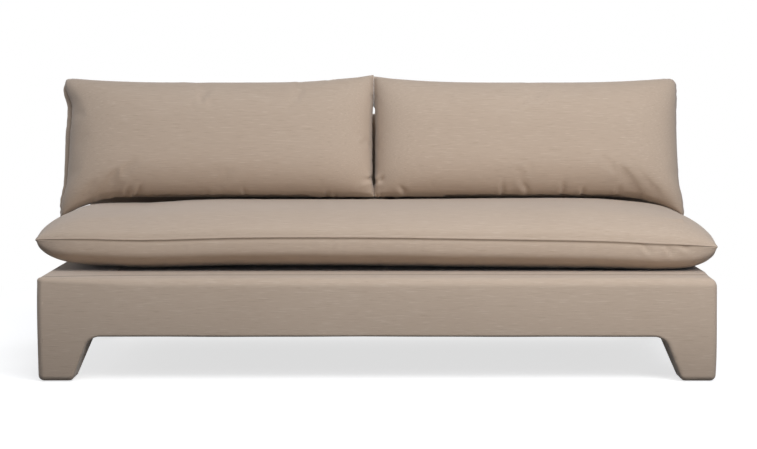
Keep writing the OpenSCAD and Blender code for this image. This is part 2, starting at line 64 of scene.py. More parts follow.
valueA, valueB = 2, 3  # inputs of a Mix node for plain values
colourA, colourB, colourOut = 6, 7, 2  # inputs and output of a Mix node for colours


def addObject(name, data):
    obj = bpy.data.objects.new(name, data)
    scene.collection.objects.link(obj)
    return obj


def tone(hexValue):
    parts = [int(hexValue[i:i + 2], 16) / 255 for i in (1, 3, 5)]
    return [c / 12.92 if c <= 0.04045 else ((c + 0.055) / 1.055) ** 2.4 for c in parts] + [1]


def addNode(tree, kind, links=None, **settings):
    # what goes in is a value, an output, or a node for its first output
    node = tree.nodes.new("ShaderNode" + kind)
    for name, value in settings.items():
        setattr(node, name, value)
    for socket, value in (links or {}).items():
        if isinstance(value, bpy.types.Node):
            value = value.outputs[0]
        if isinstance(value, bpy.types.NodeSocket):
            tree.links.new(value, node.inputs[socket])
        else:
            node.inputs[socket].default_value = value
    return node


def newMaterial(name):
    material = bpy.data.materials.new(name)
    material.use_nodes = True
    material.node_tree.nodes.clear()
    return material, material.node_tree


# Camera, as far off and as high as the photographer's

camera = {
    "fromApron": 4.85,
    "height": 0.845,
    "offCentre": 0.004,
    "tiltDown": 4.795,
    "imageWidth": 757,
    "focalPixels": 1767,
    "sensorWidth": 36,
    "clipEnd": 60,
}


def placeCamera(spec):
    data = bpy.data.cameras.new("productCamera")
    data.sensor_width = spec["sensorWidth"]
    data.lens = spec["focalPixels"] / spec["imageWidth"] * spec["sensorWidth"]
    data.clip_end = spec["clipEnd"]
    obj = addObject("productCamera", data)
    obj.location = (spec["offCentre"], baseLow.y - spec["fromApron"], spec["height"])
    obj.rotation_euler = (math.radians(90 - spec["tiltDown"]), 0, 0)
    scene.camera = obj


# Studio: a pale floor that reads as white, and large soft lamps

studio = {
    "floorReach": 14.0,
    "paint": "#6E6E6E",  # the floor as the light meets it
    "shown": "#CBCBCB",  # the floor as the camera sees it, with a glow on top
    "glow": 0.7,
    "shadowReach": 1.9,  # beyond this the floor is plain white
    "shadowShape": (0.62, 1.0, 0),  # and further off at the ends
    "bounces": 2,  # more of them would fill the dark gaps under the cushions
    "ambient": 0.19,
    "sky": "#DCE9FF",  # cool, so that the shade is neutral
    "lamps": {  # place, what it points at, width, height, watts
        "highSoftbox": ((0.4, -2.4, 3.0), (0.1, 0, 0.4), 2.4, 1.6, 67),
        "topSoftbox": ((0.3, -0.6, 3.2), (0.1, 0, 0.3), 3.2, 2.0, 5),
        "rightSoftbox": ((1.7, -2.3, 1.7), (0.1, -0.3, 0.4), 1.4, 1.0, 23),
        "leftSoftbox": ((-3.0, 0.6, 1.2), (-0.95, 0.2, 0.62), 1.2, 1.2, 9),
        "rearSoftbox": ((0.4, 3.6, 2.0), (0, 0.3, 0.4), 2.8, 1.6, 44),
    },
}


def seenStraight(tree):
    # 1 for what the camera sees, straight, in gloss or through glass
    path = addNode(tree, "LightPath")
    seen = path.outputs["Is Camera Ray"]
    for ray in ("Is Glossy Ray", "Is Transmission Ray"):
        seen = addNode(tree, "Math", {0: seen, 1: path.outputs[ray]}, operation="MAXIMUM")
    return seen


def floorMaterial(spec):
    # painted studio floor: matt paint that keeps the shadow, and plain white further out
    material, tree = newMaterial("mattStudioPaint")
    seen = seenStraight(tree)
    place = addNode(tree, "TexCoord")
    away = addNode(tree, "VectorMath", {
        0: place.outputs["Object"], 1: spec["shadowShape"]}, operation="MULTIPLY")
    away = addNode(tree, "VectorMath", {0: away}, operation="LENGTH")
    far = addNode(tree, "MapRange", {
        "Value": away.outputs["Value"], "From Min": spec["shadowReach"] / 2,
        "From Max": spec["shadowReach"]}, interpolation_type="SMOOTHSTEP")
    paint, pale = [addNode(tree, "BsdfDiffuse", {"Color": tone(spec[key])}) for key in ("paint", "shown")]
    glow, white = [addNode(tree, "Emission", {"Color": (1, 1, 1, 1), "Strength": strength})
                   for strength in (spec["glow"], 1.0)]
    near = addNode(tree, "AddShader", {0: pale, 1: glow})
    shown = addNode(tree, "MixShader", {0: far, 1: near, 2: white})
    mix = addNode(tree, "MixShader", {0: seen, 1: paint, 2: shown})
    addNode(tree, "OutputMaterial", {"Surface": mix})
    return material


def buildStudio(spec):
    scene.cycles.diffuse_bounces = spec["bounces"]
    reach = spec["floorReach"]
    corners = [(-reach, -reach, 0), (reach, -reach, 0), (reach, reach, 0), (-reach, reach, 0)]
    floor = addMesh("studioFloor", corners, [(0, 1, 2, 3)], floorMaterial(spec))

    world = bpy.data.worlds.new("whiteStudio")
    world.use_nodes = True
    tree = world.node_tree
    tree.nodes.clear()
    seen = seenStraight(tree)
    strength = addNode(tree, "MapRange", {"Value": seen, "To Min": spec["ambient"], "To Max": 1.0})
    tint = addNode(tree, "Mix", {
        0: seen, colourA: tone(spec["sky"]), colourB: (1, 1, 1, 1)}, data_type="RGBA")
    sky = addNode(tree, "Background", {"Color": tint.outputs[colourOut], "Strength": strength})
    addNode(tree, "OutputWorld", {"Surface": sky})
    scene.world = world

    for name, (place, target, width, height, watts) in spec["lamps"].items():
        light = bpy.data.lights.new(name, "AREA")
        light.shape = "RECTANGLE"
        light.size, light.size_y = width, height
        light.energy = watts
        obj = addObject(name, light)
        obj.location = place
        aim = np.subtract(target, place)
        obj.rotation_euler = (math.acos(-aim[2] / np.linalg.norm(aim)), 0,
                              math.atan2(aim[0], -aim[1]) + math.pi)


# Cloth of the base, the back and the cushions

linen = {
    "cloth": "#C9B5A2",  # taupe linen and viscose, piece dyed
    "dark": "#A9927D",
    "light": "#D8C7B6",
    # colour of the painted shade in the seams' creases
    "paintedSeamShade": "#6E5B4B",
    "slubLength": 40 * mm,  # a thick place in the weft
    "slubHeight": 2.2 * mm,  # about 1 mm in the cloth, drawn coarser so that it shows
    "threadSpacing": 1.9 * mm,  # about 0.7 mm in the cloth
    "patch": 260 * mm,
    "patches": (0.3, 0.7, 0.1),  # the noise where they start and are full, and their share
    "lightStreaks": (0.59, 0.7, 0.5),
    "darkStreaks": (0.4, 0.29, 0.3),
    "sideFrom": 0.75,  # on faces turned so far to the side the threads run the other way
    "sideTo": 0.9,
    "relief": 0.3,
    "reliefHeight": 0.6 * mm,
    "roughness": 0.9,
    "specular": 0.15,
    "sheen": 0.32,
    "sheenRoughness": 0.45,
}


def linenWeave(spec):
    # linen and viscose, woven plain with slub yarn: matt, with short thick threads running across
    material, tree = newMaterial("plainWovenSlubLinen")
    given = addNode(tree, "TexCoord")
    place = given.outputs["Object"]
    facing = addNode(tree, "SeparateXYZ", {0: given.outputs["Normal"]})
    side = addNode(tree, "Math", {0: facing.outputs["X"]}, operation="ABSOLUTE")
    onSide = addNode(tree, "MapRange", {
        "Value": side, "From Min": spec["sideFrom"], "From Max": spec["sideTo"]})
    long, short = 1 / spec["slubLength"], 1 / spec["slubHeight"]
    runs = []
    for scale in ((long, short, short), (short, long, short)):
        stretched = addNode(tree, "VectorMath", {0: place, 1: scale}, operation="MULTIPLY")
        runs.append(addNode(tree, "TexNoise", {
            "Vector": stretched, "Scale": 1.0, "Detail": 1.5, "Roughness": 0.5}))
    slubs = addNode(tree, "Mix", {0: onSide, valueA: runs[0], valueB: runs[1]})
    patch, weave = [addNode(tree, "TexNoise", {"Vector": place, "Scale": 1 / spec[size], "Detail": 2.0})
                    for size in ("patch", "threadSpacing")]
    # painted shade: the cloth is mixed towards a darker colour where a seam's crease lies in shadow
    seam = addNode(tree, "Attribute", attribute_name="paintedSeamShade")
    layers = []
    for source, key, colour in ((patch, "patches", "dark"), (slubs, "lightStreaks", "light"),
                                (slubs, "darkStreaks", "dark")):
        low, high, share = spec[key]
        layers.append((addNode(tree, "MapRange", {
            "Value": source, "From Min": low, "From Max": high, "To Max": share}), colour))
    cloth = tone(spec["cloth"])
    for share, colour in (*layers, (seam.outputs["Fac"], "paintedSeamShade")):
        cloth = addNode(tree, "Mix", {
            0: share, colourA: cloth, colourB: tone(spec[colour])}, data_type="RGBA").outputs[colourOut]
    relief = addNode(tree, "Math", {0: slubs, 1: 0.8, 2: weave}, operation="MULTIPLY_ADD")
    bump = addNode(tree, "Bump", {
        "Strength": spec["relief"], "Distance": spec["reliefHeight"], "Height": relief})
    shader = addNode(tree, "BsdfPrincipled", {
        "Base Color": cloth, "Roughness": spec["roughness"], "Sheen Weight": spec["sheen"],
        "Sheen Roughness": spec["sheenRoughness"], "Specular IOR Level": spec["specular"],
        "Normal": bump})
    addNode(tree, "OutputMaterial", {"Surface": shader})
    return material


# Finishes of the frame, the filling and the fittings: name, light and dark tone, grain, distortion,
# detail, bump, roughness, sheen, metal. The grain is a length and a width in mm, or a thread spacing

finishes = {
    # planed softwood, left bare
    "frame_timber": ("planedSoftwood", "#DDC094", "#B98E5B", (380, 9), 1.4, 4, 0.12, 0.72, 0, 0),
    # open-cell polyurethane foam, cut with a blade
    "upholstery_foam": ("cutPolyurethaneFoam", "#EFE3B6", "#D8C68E", (3, 3), 0, 3, 0.5, 0.95, 0, 0),
    # carded polyester fibre
    "polyester_wadding": ("cardedPolyesterFibre", "#F4F4F1", "#D9D9D4", (26, 7), 2.5, 5, 0.6, 1, 0.4, 0),
    # grey needled felt
    "pressed_felt": ("needledFelt", "#85827C", "#55524D", (9, 5), 1.5, 5, 0.5, 1, 0.2, 0),
    # rubber-cored upholstery webbing
    "elastic_webbing": ("rubberCoredWebbing", "#CDBE9D", "#9C8A68", 2.6, 0.6, 1, 0.5, 0.85, 0.1, 0),
    # zinc-plated steel
    "zinc_steel": ("zincPlatedSteel", "#C3C6C9", "#A2A6AA", (14, 4), 0.4, 3, 0.05, 0.36, 0, 1),
    # moulded nylon
    "glide_plastic": ("mouldedNylon", "#3E3B38", "#2E2C2A", (2, 2), 0, 2, 0.08, 0.45, 0, 0),
    # black spunbonded polypropylene, with its point bonds drawn at 2.2 mm
    "dust_cloth": ("spunbondedPolypropylene", "#2B2B2C", "#141415", 2.2, 0.6, 1, 0.3, 0.9, 0.15, 0),
    # tempered hardboard
    "hardboard": ("temperedHardboard", "#8A6444", "#5E412A", (5, 3), 0.8, 5, 0.2, 0.62, 0, 0),
    # woven polyester tape, dyed to match the cloth
    "zip_tape": ("wovenZipTape", "#8E7E6C", "#6D5F50", 0.9, 0.6, 1, 0.4, 0.85, 0.1, 0),
    # cast zinc, nickel plated
    "zip_metal": ("nickelPlatedZinc", "#C9C5BD", "#A9A49B", (6, 2), 0.3, 2, 0.04, 0.3, 0, 1),
}

wear = {
    "darkAt": 0.3,  # the noise that gives the dark tone, and the light one
    "lightAt": 0.68,
    "broadScale": 7.0,
    "broadShare": 0.3,
    "roughSpread": 0.08,
    "height": 0.5 * mm,
    "threadsInWave": 3.2,
}


def finishMaterial(row, axis):
    # a material whose grain runs along the piece's long axis, or whose threads cross
    name, light, dark, grain, distortion, detail, height, roughness, sheen, metal = row
    material, tree = newMaterial(name + ("" if axis is None else "XYZ"[axis]))
    place = addNode(tree, "TexCoord").outputs["Object"]
    drawn = {"Detail": detail, "Distortion": distortion}
    if isinstance(grain, tuple):
        along, across = grain
        scale = [1 / (across * mm)] * 3
        if axis is not None:
            scale[axis] = 1 / (along * mm)
        stretched = addNode(tree, "VectorMath", {0: place, 1: scale}, operation="MULTIPLY")
        pattern = addNode(tree, "TexNoise", {"Vector": stretched, "Scale": 1.0} | drawn)
    else:
        drawn |= {"Vector": place, "Scale": 1 / (grain * mm * wear["threadsInWave"])}
        waves = [addNode(tree, "TexWave", drawn, bands_direction=way) for way in ("X", "Y")]
        pattern = addNode(tree, "Math", {
            0: waves[0].outputs["Fac"], 1: waves[1].outputs["Fac"]}, operation="MULTIPLY")
    broad = addNode(tree, "TexNoise", {"Vector": place, "Scale": wear["broadScale"], "Detail": 2.0})
    blend = addNode(tree, "MapRange", {
        "Value": pattern, "From Min": wear["darkAt"], "From Max": wear["lightAt"]})
    shade = addNode(tree, "Math", {
        0: broad, 1: wear["broadShare"], 2: -wear["broadShare"] / 2}, operation="MULTIPLY_ADD")
    share = addNode(tree, "Math", {0: blend, 1: shade}, operation="ADD", use_clamp=True)
    colour = addNode(tree, "Mix", {0: share, colourA: tone(dark), colourB: tone(light)},
                     data_type="RGBA")
    rough = addNode(tree, "MapRange", {
        "Value": broad, "To Min": roughness - wear["roughSpread"],
        "To Max": min(1, roughness + wear["roughSpread"])})
    bump = addNode(tree, "Bump", {"Strength": height, "Distance": wear["height"], "Height": pattern})
    shader = addNode(tree, "BsdfPrincipled", {
        "Base Color": colour.outputs[colourOut], "Roughness": rough, "Normal": bump,
        "Metallic": metal, "Sheen Weight": sheen})
    addNode(tree, "OutputMaterial", {"Surface": shader})
    return material


def finishNodes(table):
    # every solid that stays takes its own finish, and grained ones go by their long side
    made = {}
    for row in frame["record"]["subparts"]:
        if row["material_slot"] not in table:
            continue
        finish = table[row["material_slot"]]
        grain = finish[3]
        low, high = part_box(row["node"])
        size = list(high - low)
        axis = size.index(max(size)) if isinstance(grain, tuple) and grain[0] != grain[1] else None
        key = (row["material_slot"], axis)
        if key not in made:
            made[key] = finishMaterial(finish, axis)
        for slot in frame["nodes"][row["node"]].material_slots:
            slot.material = made[key]
    return made


# Geometry helpers

def smoothMax(a, b, radius):
    # two faces meet in a round edge
    return (np.minimum(np.maximum(a, b), -radius)
            + np.hypot(np.maximum(a + radius, 0), np.maximum(b + radius, 0)))


def lines(start, *stretches):
    # grid lines from the start on to each end at its own spacing, finer where an edge or a seam runs
    found = []
    for end, spacing in stretches:
        count = max(1, round((end - start) / spacing))
        found += list(np.linspace(start, end, count, endpoint=False))
        start = end
    return np.array(found + [start])


def fieldMesh(name, field, xs, ys, zs, relief, material):
    # a closed skin where the field is zero, one vertex in each grid cell that it passes, and its relief
    grid = np.stack(np.meshgrid(xs, ys, zs, indexing="ij"), -1)
    inside = field(grid.reshape(-1, 3)).reshape(grid.shape[:3]) < 0
    count = sum(inside[i:len(xs) - 1 + i, j:len(ys) - 1 + j, k:len(zs) - 1 + k].astype(int)
                for i in (0, 1) for j in (0, 1) for k in (0, 1))
    cells = np.argwhere((count > 0) & (count < 8))
    number = np.full(count.shape, -1)
    number[tuple(cells.T)] = np.arange(len(cells))
    low = grid[tuple(cells.T)]
    high = grid[tuple((cells + 1).T)]
    points = (low + high) / 2
    step = 1e-5
    for _ in range(5):
        value = field(points)
        slope = np.stack([(field(points + step * axis) - value) / step for axis in np.eye(3)], -1)
        points = points - slope * (value / np.maximum((slope ** 2).sum(1), 1e-6))[:, None]
        points = np.clip(points, low, high)
    faces = []
    for axis in range(3):
        a, b = (axis + 1) % 3, (axis + 2) % 3
        first = np.take(inside, range(inside.shape[axis] - 1), axis)
        second = np.take(inside, range(1, inside.shape[axis]), axis)
        edges = np.argwhere(first != second)
        edges = edges[(edges[:, a] > 0) & (edges[:, b] > 0)]
        edges = edges[(edges[:, a] < count.shape[a]) & (edges[:, b] < count.shape[b])]
        moveA, moveB = np.eye(3, dtype=int)[a], np.eye(3, dtype=int)[b]
        ring = np.stack([number[tuple((edges - i * moveA - j * moveB).T)]
                         for i, j in ((0, 0), (1, 0), (1, 1), (0, 1))], 1)
        outward = first[tuple(edges.T)]
        ring[~outward] = ring[~outward][:, ::-1]
        faces += ring.tolist()
    step = 1e-4
    slope = np.stack([field(points + step * axis) - field(points - step * axis)
                      for axis in np.eye(3)], -1)
    normals = slope / np.maximum(np.linalg.norm(slope, axis=1), 1e-9)[:, None]
    points = points - normals * field(points)[:, None]
    return addMesh(name, points + normals * relief(points)[:, None], faces, material)


def addMesh(name, points, faces, material=None):
    mesh = bpy.data.meshes.new(name)
    mesh.from_pydata(np.asarray(points).tolist(), [], faces)
    if material is not None:
        mesh.materials.append(material)
    mesh.validate()
    mesh.shade_smooth()
    return addObject(name, mesh)


def ripple(points, length, seed):
    # a smooth, seeded unevenness between about -1 and 1
    source = np.random.default_rng(seed)
    total = np.zeros(len(points))
    for _ in range(9):
        wave = source.normal(size=3) * 2 * math.pi / length
        total += np.sin(points @ wave + source.uniform(0, 2 * math.pi))
    return total / 4


def wander(s, seed, longest, shortest):
    # an uneven line along a seam, between about -1 and 1
    source = np.random.default_rng(seed)
    total = np.zeros_like(s)
    for length in np.geomspace(longest, shortest, 7):
        total += np.sin(s * 2 * math.pi / length * source.uniform(0.85, 1.15) + source.uniform(0, 6.3))
    return total / 3


def through(x, places, heights):
    # a smooth curve through a few chosen points
    slopes = np.gradient(heights, places)
    i = np.clip(np.searchsorted(places, x) - 1, 0, len(places) - 2)
    start, width = np.take(places, i), np.take(np.diff(places), i)
    t = np.clip((x - start) / width, 0, 1)
    a, b = np.take(heights, i), np.take(heights, i + 1)
    p, q = np.take(slopes, i) * width, np.take(slopes, i + 1) * width
    return ((2 * t ** 3 - 3 * t ** 2 + 1) * a + (t ** 3 - 2 * t ** 2 + t) * p
            + (3 * t ** 2 - 2 * t ** 3) * b + (t ** 3 - t ** 2) * q)


def groove(distance, width):
    return np.exp(-(distance / width) ** 2)


def swelling(far):
    # a rounded rise from 0 at a seam, full at far = 1
    return far * np.exp(1 - far)


def rest(height, ground, soft):
    # what lies on something never dips below it
    gap = height - ground
    return ground + (gap + np.hypot(gap, soft)) / 2


def sew(name, front, rear, material=None):
    # two panels that share the seam round them
    m, n = front.shape[:2]
    frontIndex = np.arange(m * n).reshape(m, n)
    rearIndex = frontIndex.copy()
    rearIndex[1:-1, 1:-1] = m * n + np.arange((m - 2) * (n - 2)).reshape(m - 2, n - 2)
    points = np.concatenate([front.reshape(-1, 3), rear[1:-1, 1:-1].reshape(-1, 3)])

    def quads(index):
        ring = [index[:-1, :-1], index[1:, :-1], index[1:, 1:], index[:-1, 1:]]
        return np.stack(ring, -1).reshape(-1, 4)

    faces = quads(frontIndex).tolist() + quads(rearIndex)[:, ::-1].tolist()
    return addMesh(name, points, faces, material)


def coordinates(obj):
    found = np.empty(len(obj.data.vertices) * 3)
    obj.data.vertices.foreach_get("co", found)
    return found.reshape(-1, 3)


def paintSeamShade(obj, share):
    # painted shade in a seam's crease, point by point: how much darker the cloth is drawn there
    layer = obj.data.attributes.new("paintedSeamShade", "FLOAT", "POINT")
    layer.data.foreach_set("value", np.asarray(share, dtype=np.float32))


def overBoth(grid):
    # one value for each point of two sewn panels
    return np.concatenate([grid.ravel(), grid[1:-1, 1:-1].ravel()])


def toEdge(low, high, x, y):
    # distance in from the nearest side of a rectangle
    return np.minimum(np.minimum(x - low.x, high.x - x), np.minimum(y - low.y, high.y - y))


# Base: apron, legs and deck border in one upholstered skin

base = {
    "legTop": 142 * mm,
    "foot": 92 * mm,
    "apronZ": 128 * mm,
    "archFillet": 28 * mm,
    "planRadius": 16 * mm,
    "footRadius": 14 * mm,
    "topRadius": 24 * mm,
    "endRadius": 9 * mm,  # of the top edge at the left end and the rear
    "fullFrom": (-0.92, -0.3),  # the x and the y from which the top edge rounds out to topRadius
    "fullWithin": (0.25, 0.1),
    "belly": 10 * mm,  # of the front and rear, halfway up
    "edgeRadius": 6 * mm,
    "proud": 1.2 * mm,
    "unevenness": 0.7 * mm,
    "calm": 50 * mm,  # less of it this near to the floor and the deck
    "seamPlaces": [-0.94, -0.85, -0.6, -0.3, 0.94],
    "seamBehind": [0.03, 0.05, 0.075, 0.085, 0.085],  # of the deck's front seam, from the front
    "seamWidth": 8 * mm,
    "seamDepth": 4.5 * mm,
    "rollHeight": 1.2 * mm,  # the border stands a little proud in front of its seam
    "sag": 3.5 * mm,  # of the deck under its cloth
    "sagStart": 4 * mm,
    "sagRun": 26 * mm,
    "edge": 20 * mm,
    "border": 110 * mm,
    "cells": (2.6 * mm, 4 * mm, 6 * mm, 13 * mm),  # grid at the edges, the front border, the legs, elsewhere
}


def archField(across, z, half):
    rise, run = base["apronZ"] - baseLow.z, base["legTop"] - base["foot"]
    size = math.hypot(rise, run)
    legFace = ((across - (half - base["legTop"])) * rise + (z - base["apronZ"]) * run) / size
    return smoothMax(z - base["apronZ"], legFace, base["archFillet"])


def deckSag(x, y):
    # the deck gives a little inside its cloth's seam
    t = np.clip((toEdge(deckLow, deckHigh, x, y) + base["sagStart"]) / base["sagRun"], 0, 1)
    return base["sag"] * t * t * (3 - 2 * t)


def baseField(points):
    middle = (baseLow.y + baseHigh.y) / 2
    halfX, halfY, halfHeight = baseHigh.x, (baseHigh.y - baseLow.y) / 2, deckZ / 2
    x, y, z = np.abs(points[:, 0]), np.abs(points[:, 1] - middle), points[:, 2]
    belly = base["belly"] * np.clip(1 - ((z - halfHeight) / halfHeight) ** 2, 0, 1)
    skin = smoothMax(x - halfX, y - halfY - belly, base["planRadius"])
    (fromX, fromY), (withinX, withinY) = base["fullFrom"], base["fullWithin"]
    full = np.clip((points[:, 0] - fromX) / withinX, 0, 1) * np.clip((fromY - points[:, 1]) / withinY, 0, 1)
    radius = base["endRadius"] + (base["topRadius"] - base["endRadius"]) * full
    skin = smoothMax(skin, z - deckZ + deckSag(points[:, 0], points[:, 1]), radius)
    skin = smoothMax(skin, baseLow.z - z, base["footRadius"])
    skin = smoothMax(skin, -archField(x, z, halfX), base["edgeRadius"])
    skin = smoothMax(skin, -archField(y, z, halfY), base["edgeRadius"])
    return skin - base["proud"]


def fromDeckSeam(points):
    # distance behind the seam across the front of the deck, and how far a point is on top
    x, y, z = points.T
    behind = y - baseLow.y - through(x, base["seamPlaces"], base["seamBehind"])
    return behind, np.clip((z - deckZ + 12 * mm) / (8 * mm), 0, 1)


def baseRelief(points):
    away = np.clip(np.minimum(deckZ - points[:, 2], points[:, 2]) / base["calm"], 0, 1)
    soft = base["unevenness"] * ripple(points, 0.55, 3) * (0.3 + 0.7 * away)
    behind, onTop = fromDeckSeam(points)
    seam = base["rollHeight"] * groove(behind + 2.2 * base["seamWidth"], 1.5 * base["seamWidth"])
    seam -= base["seamDepth"] * groove(behind, base["seamWidth"])
    return soft + seam * onTop


def buildBase(spec, cloth):
    out, edge, apron = 6 * mm, spec["edge"], spec["apronZ"]
    fine, even, middling, coarse = spec["cells"]
    halfX, lowY, highY = baseHigh.x, baseLow.y, baseHigh.y
    leg, sideOut = spec["legTop"] + spec["archFillet"], spec["belly"] + out
    xs = lines(-halfX - out, (-halfX + edge, fine), (-halfX + leg, middling), (halfX - leg, coarse),
               (halfX - edge, middling), (halfX + out, fine))
    ys = lines(lowY - sideOut, (lowY + edge, fine), (lowY + spec["border"], even), (lowY + leg, middling),
               (highY - leg, coarse), (highY - edge, middling), (highY + sideOut, fine))
    zs = lines(-1 * mm, (edge, fine), (apron - 10 * mm, middling), (apron + 12 * mm, 2.2 * mm),
               (deckZ - 34 * mm, 8 * mm), (deckZ - 9 * mm, fine), (deckZ + out, fine / 2))
    skin = fieldMesh("baseUpholstery", baseField, xs, ys, zs, baseRelief, cloth)
    points = coordinates(skin)
    behind, onTop = fromDeckSeam(points)
    rearCorner = np.hypot(np.abs(points[:, 0]) - halfX, points[:, 1] - highY + 8 * mm)
    # painted shade in the groove of the deck's front seam, and a painted shaded line down each rear corner's
    # seam, which has no groove in the skin
    shade = groove(behind - 3 * mm, spec["seamWidth"]) * onTop
    paintSeamShade(skin, np.maximum(shade, groove(rearCorner, 3 * mm)))
    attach(skin, "base")
    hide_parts("base_cover", "deck_foam")


# Upholstered back

back = {
    "cornerRadius": 26 * mm,
    "edgeRadius": 22 * mm,  # of the padded front edges
    "rearRadius": 3 * mm,  # the rear board keeps its edges tight
    "footRadius": 4 * mm,
    "topThickness": 125 * mm,
    "proud": 1.0 * mm,
    "unevenness": 0.8 * mm,
    "seamIn": 12 * mm,
    "seamOver": 6 * mm,
    "seamWidth": 3 * mm,
    "seamDepth": 1.5 * mm,
    "edge": 40 * mm,  # the grid is finer this near to the top and the sides
}


def backFront(z):
    slope = (backHigh.y - back["topThickness"] - backLow.y) / (backHigh.z - backLow.z)
    return backLow.y + (z - backLow.z) * slope


def backField(points):
    x, y, z = np.abs(points[:, 0]), points[:, 1], points[:, 2]
    outline = smoothMax(z - backHigh.z, x - backHigh.x, back["cornerRadius"])
    skin = smoothMax(backFront(z) - y, outline, back["edgeRadius"])
    skin = smoothMax(skin, y - backHigh.y, back["rearRadius"])
    return smoothMax(skin, backLow.z - z, back["footRadius"]) - back["proud"]


def backSeam(points):
    # distance from the seam that joins the rear panel to the top and the ends
    edge = np.minimum(backHigh.x - np.abs(points[:, 0]), backHigh.z - points[:, 2])
    return np.hypot(np.maximum(edge - back["seamOver"], 0), points[:, 1] - (backHigh.y - back["seamIn"]))


def backRelief(points):
    seam = back["seamDepth"] * groove(backSeam(points), back["seamWidth"])
    return back["unevenness"] * ripple(points, 0.5, 5) - seam


def buildBack(spec, cloth):
    out, edge = 6 * mm, spec["edge"]
    low, high = backLow, backHigh
    xs = lines(low.x - out, (low.x + edge, 4 * mm), (high.x - edge, 13 * mm), (high.x + out, 4 * mm))
    ys = lines(low.y - out, (high.y - edge, 7 * mm), (high.y + out, 3 * mm))
    zs = lines(low.z - out, (low.z + 10 * mm, 2.6 * mm), (high.z - edge, 12 * mm), (high.z + out, 4 * mm))
    skin = fieldMesh("backUpholstery", backField, xs, ys, zs, backRelief, cloth)
    # painted shade along the groove of the rear panel's seam
    paintSeamShade(skin, 0.8 * groove(backSeam(coordinates(skin)), 2.5 * mm))
    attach(skin, "base")
    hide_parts("back_cover", "back_foam")


# Deck cloth and dust cover

deck = {
    "fine": 9 * mm,
    "thickness": 1.4 * mm,
    "rise": 0.9 * mm,  # of the cloth over the skin under it
    "pucker": 0.8 * mm,
    "puckerReach": 25 * mm,
    "puckerStart": 4 * mm,
    "edgeRoll": 6 * mm,
}

dust = {
    "fine": 16 * mm,
    "thickness": 0.5 * mm,
    "slack": 1.6 * mm,
    "slackRun": 120 * mm,
    "fold": 0.35 * mm,
    "foldReach": 80 * mm,
    "foldStart": 20 * mm,
    "stapleIn": 9 * mm,
    "stapleEvery": 62 * mm,
    "crown": 12 * mm,  # width of a staple's crown
    "wire": 1.0 * mm,
    "sides": 6,  # of the wire's outline
}


def sheetMesh(name, spec, low, high, heightAt, material):
    # a thin closed sheet over a rectangle: the upper face at heightAt, the lower one beneath it
    lineup = [np.linspace(low[k], high[k], round((high[k] - low[k]) / spec["fine"])) for k in (0, 1)]
    x, y = np.meshgrid(*lineup, indexing="ij")
    inside = toEdge(low, high, x, y)
    top, thickness = heightAt(x, y, inside), spec["thickness"]
    faces = [np.stack([x, y, np.where(inside == 0, top - thickness / 2, z)], -1)
             for z in (top, top - thickness)]
    return sew(name, *faces, material), overBoth(inside)


def deckHeight(x, y, inside):
    around = np.arctan2(y / (deckHigh.y - deckLow.y), x / (deckHigh.x - deckLow.x))
    drawn = deck["pucker"] * wander(around * 1.2, 71, 0.08, 0.03) * np.exp(-inside / deck["puckerReach"])
    roll = deck["rise"] * np.clip(inside / deck["edgeRoll"], 0, 1)
    drawn *= np.clip(inside / deck["puckerStart"], 0, 1)
    return deckZ + base["proud"] - deckSag(x, y) + roll + drawn


def buildDeckCloth(spec, cloth):
    sheet, inside = sheetMesh("deckCloth", spec, deckLow, deckHigh, deckHeight, cloth)
    # painted shade along the deck cloth's sewn edge, where it dips into its seam
    paintSeamShade(sheet, 0.8 * groove(inside, 3 * mm))
    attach(sheet, "base")
    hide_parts("deck_cloth")


def dustHeight(x, y, inside):
    slack = dust["slack"] * np.clip(inside / dust["slackRun"], 0, 1) ** 1.5
    folds = dust["fold"] * wander(x + 0.4 * y, 81, 0.3, 0.09) * np.exp(-inside / dust["foldReach"])
    return dustHigh.z - slack + folds * np.clip(inside / dust["foldStart"], 0, 1)


def buildStaples(spec, steel):
    # along the four edges, each a short wire whose ends turn up into the cloth
    points, faces, sides = [], [], spec["sides"]
    radius, inset = spec["wire"] / 2, spec["stapleIn"]
    ring = [(math.cos(a), math.sin(a)) for a in np.linspace(0, 2 * math.pi, sides, endpoint=False)]
    for axis in (0, 1):
        start, end = dustLow[axis], dustHigh[axis]
        places = np.linspace(start + 3 * inset, end - 3 * inset, round((end - start) / spec["stapleEvery"]))
        edges = (dustLow[1 - axis] + inset, dustHigh[1 - axis] - inset)
        for place, edge in itertools.product(places, edges):
            first = len(points)
            for t in np.linspace(-0.5, 0.5, 4):
                drop = spec["wire"] * (0.9 if abs(t) < 0.4 else 0.1)
                for c, s in ring:
                    point = [0, 0, dustHigh.z - spec["thickness"] - drop + s * radius]
                    point[axis], point[1 - axis] = place + t * spec["crown"], edge + c * radius
                    points.append(point)
            last = len(points) - sides
            for k, n in itertools.product(range(first, last, sides), range(sides)):
                a, b = k + n, k + (n + 1) % sides
                faces.append((a, b, b + sides, a + sides) if axis else (a, a + sides, b + sides, b))
            faces += [tuple(range(first, first + sides)), tuple(range(last + sides - 1, last - 1, -1))]
    staples = addMesh("dustCoverStaples", points, faces, steel)
    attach(staples, "base")


def buildDustCover(spec, finish):
    sheet, _ = sheetMesh("dustCover", spec, dustLow, dustHigh, dustHeight, finish)
    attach(sheet, "base")
    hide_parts("dust_cover")


# Cushions: two panels each, sewn edge to edge, filled, and blown up a little with Cloth

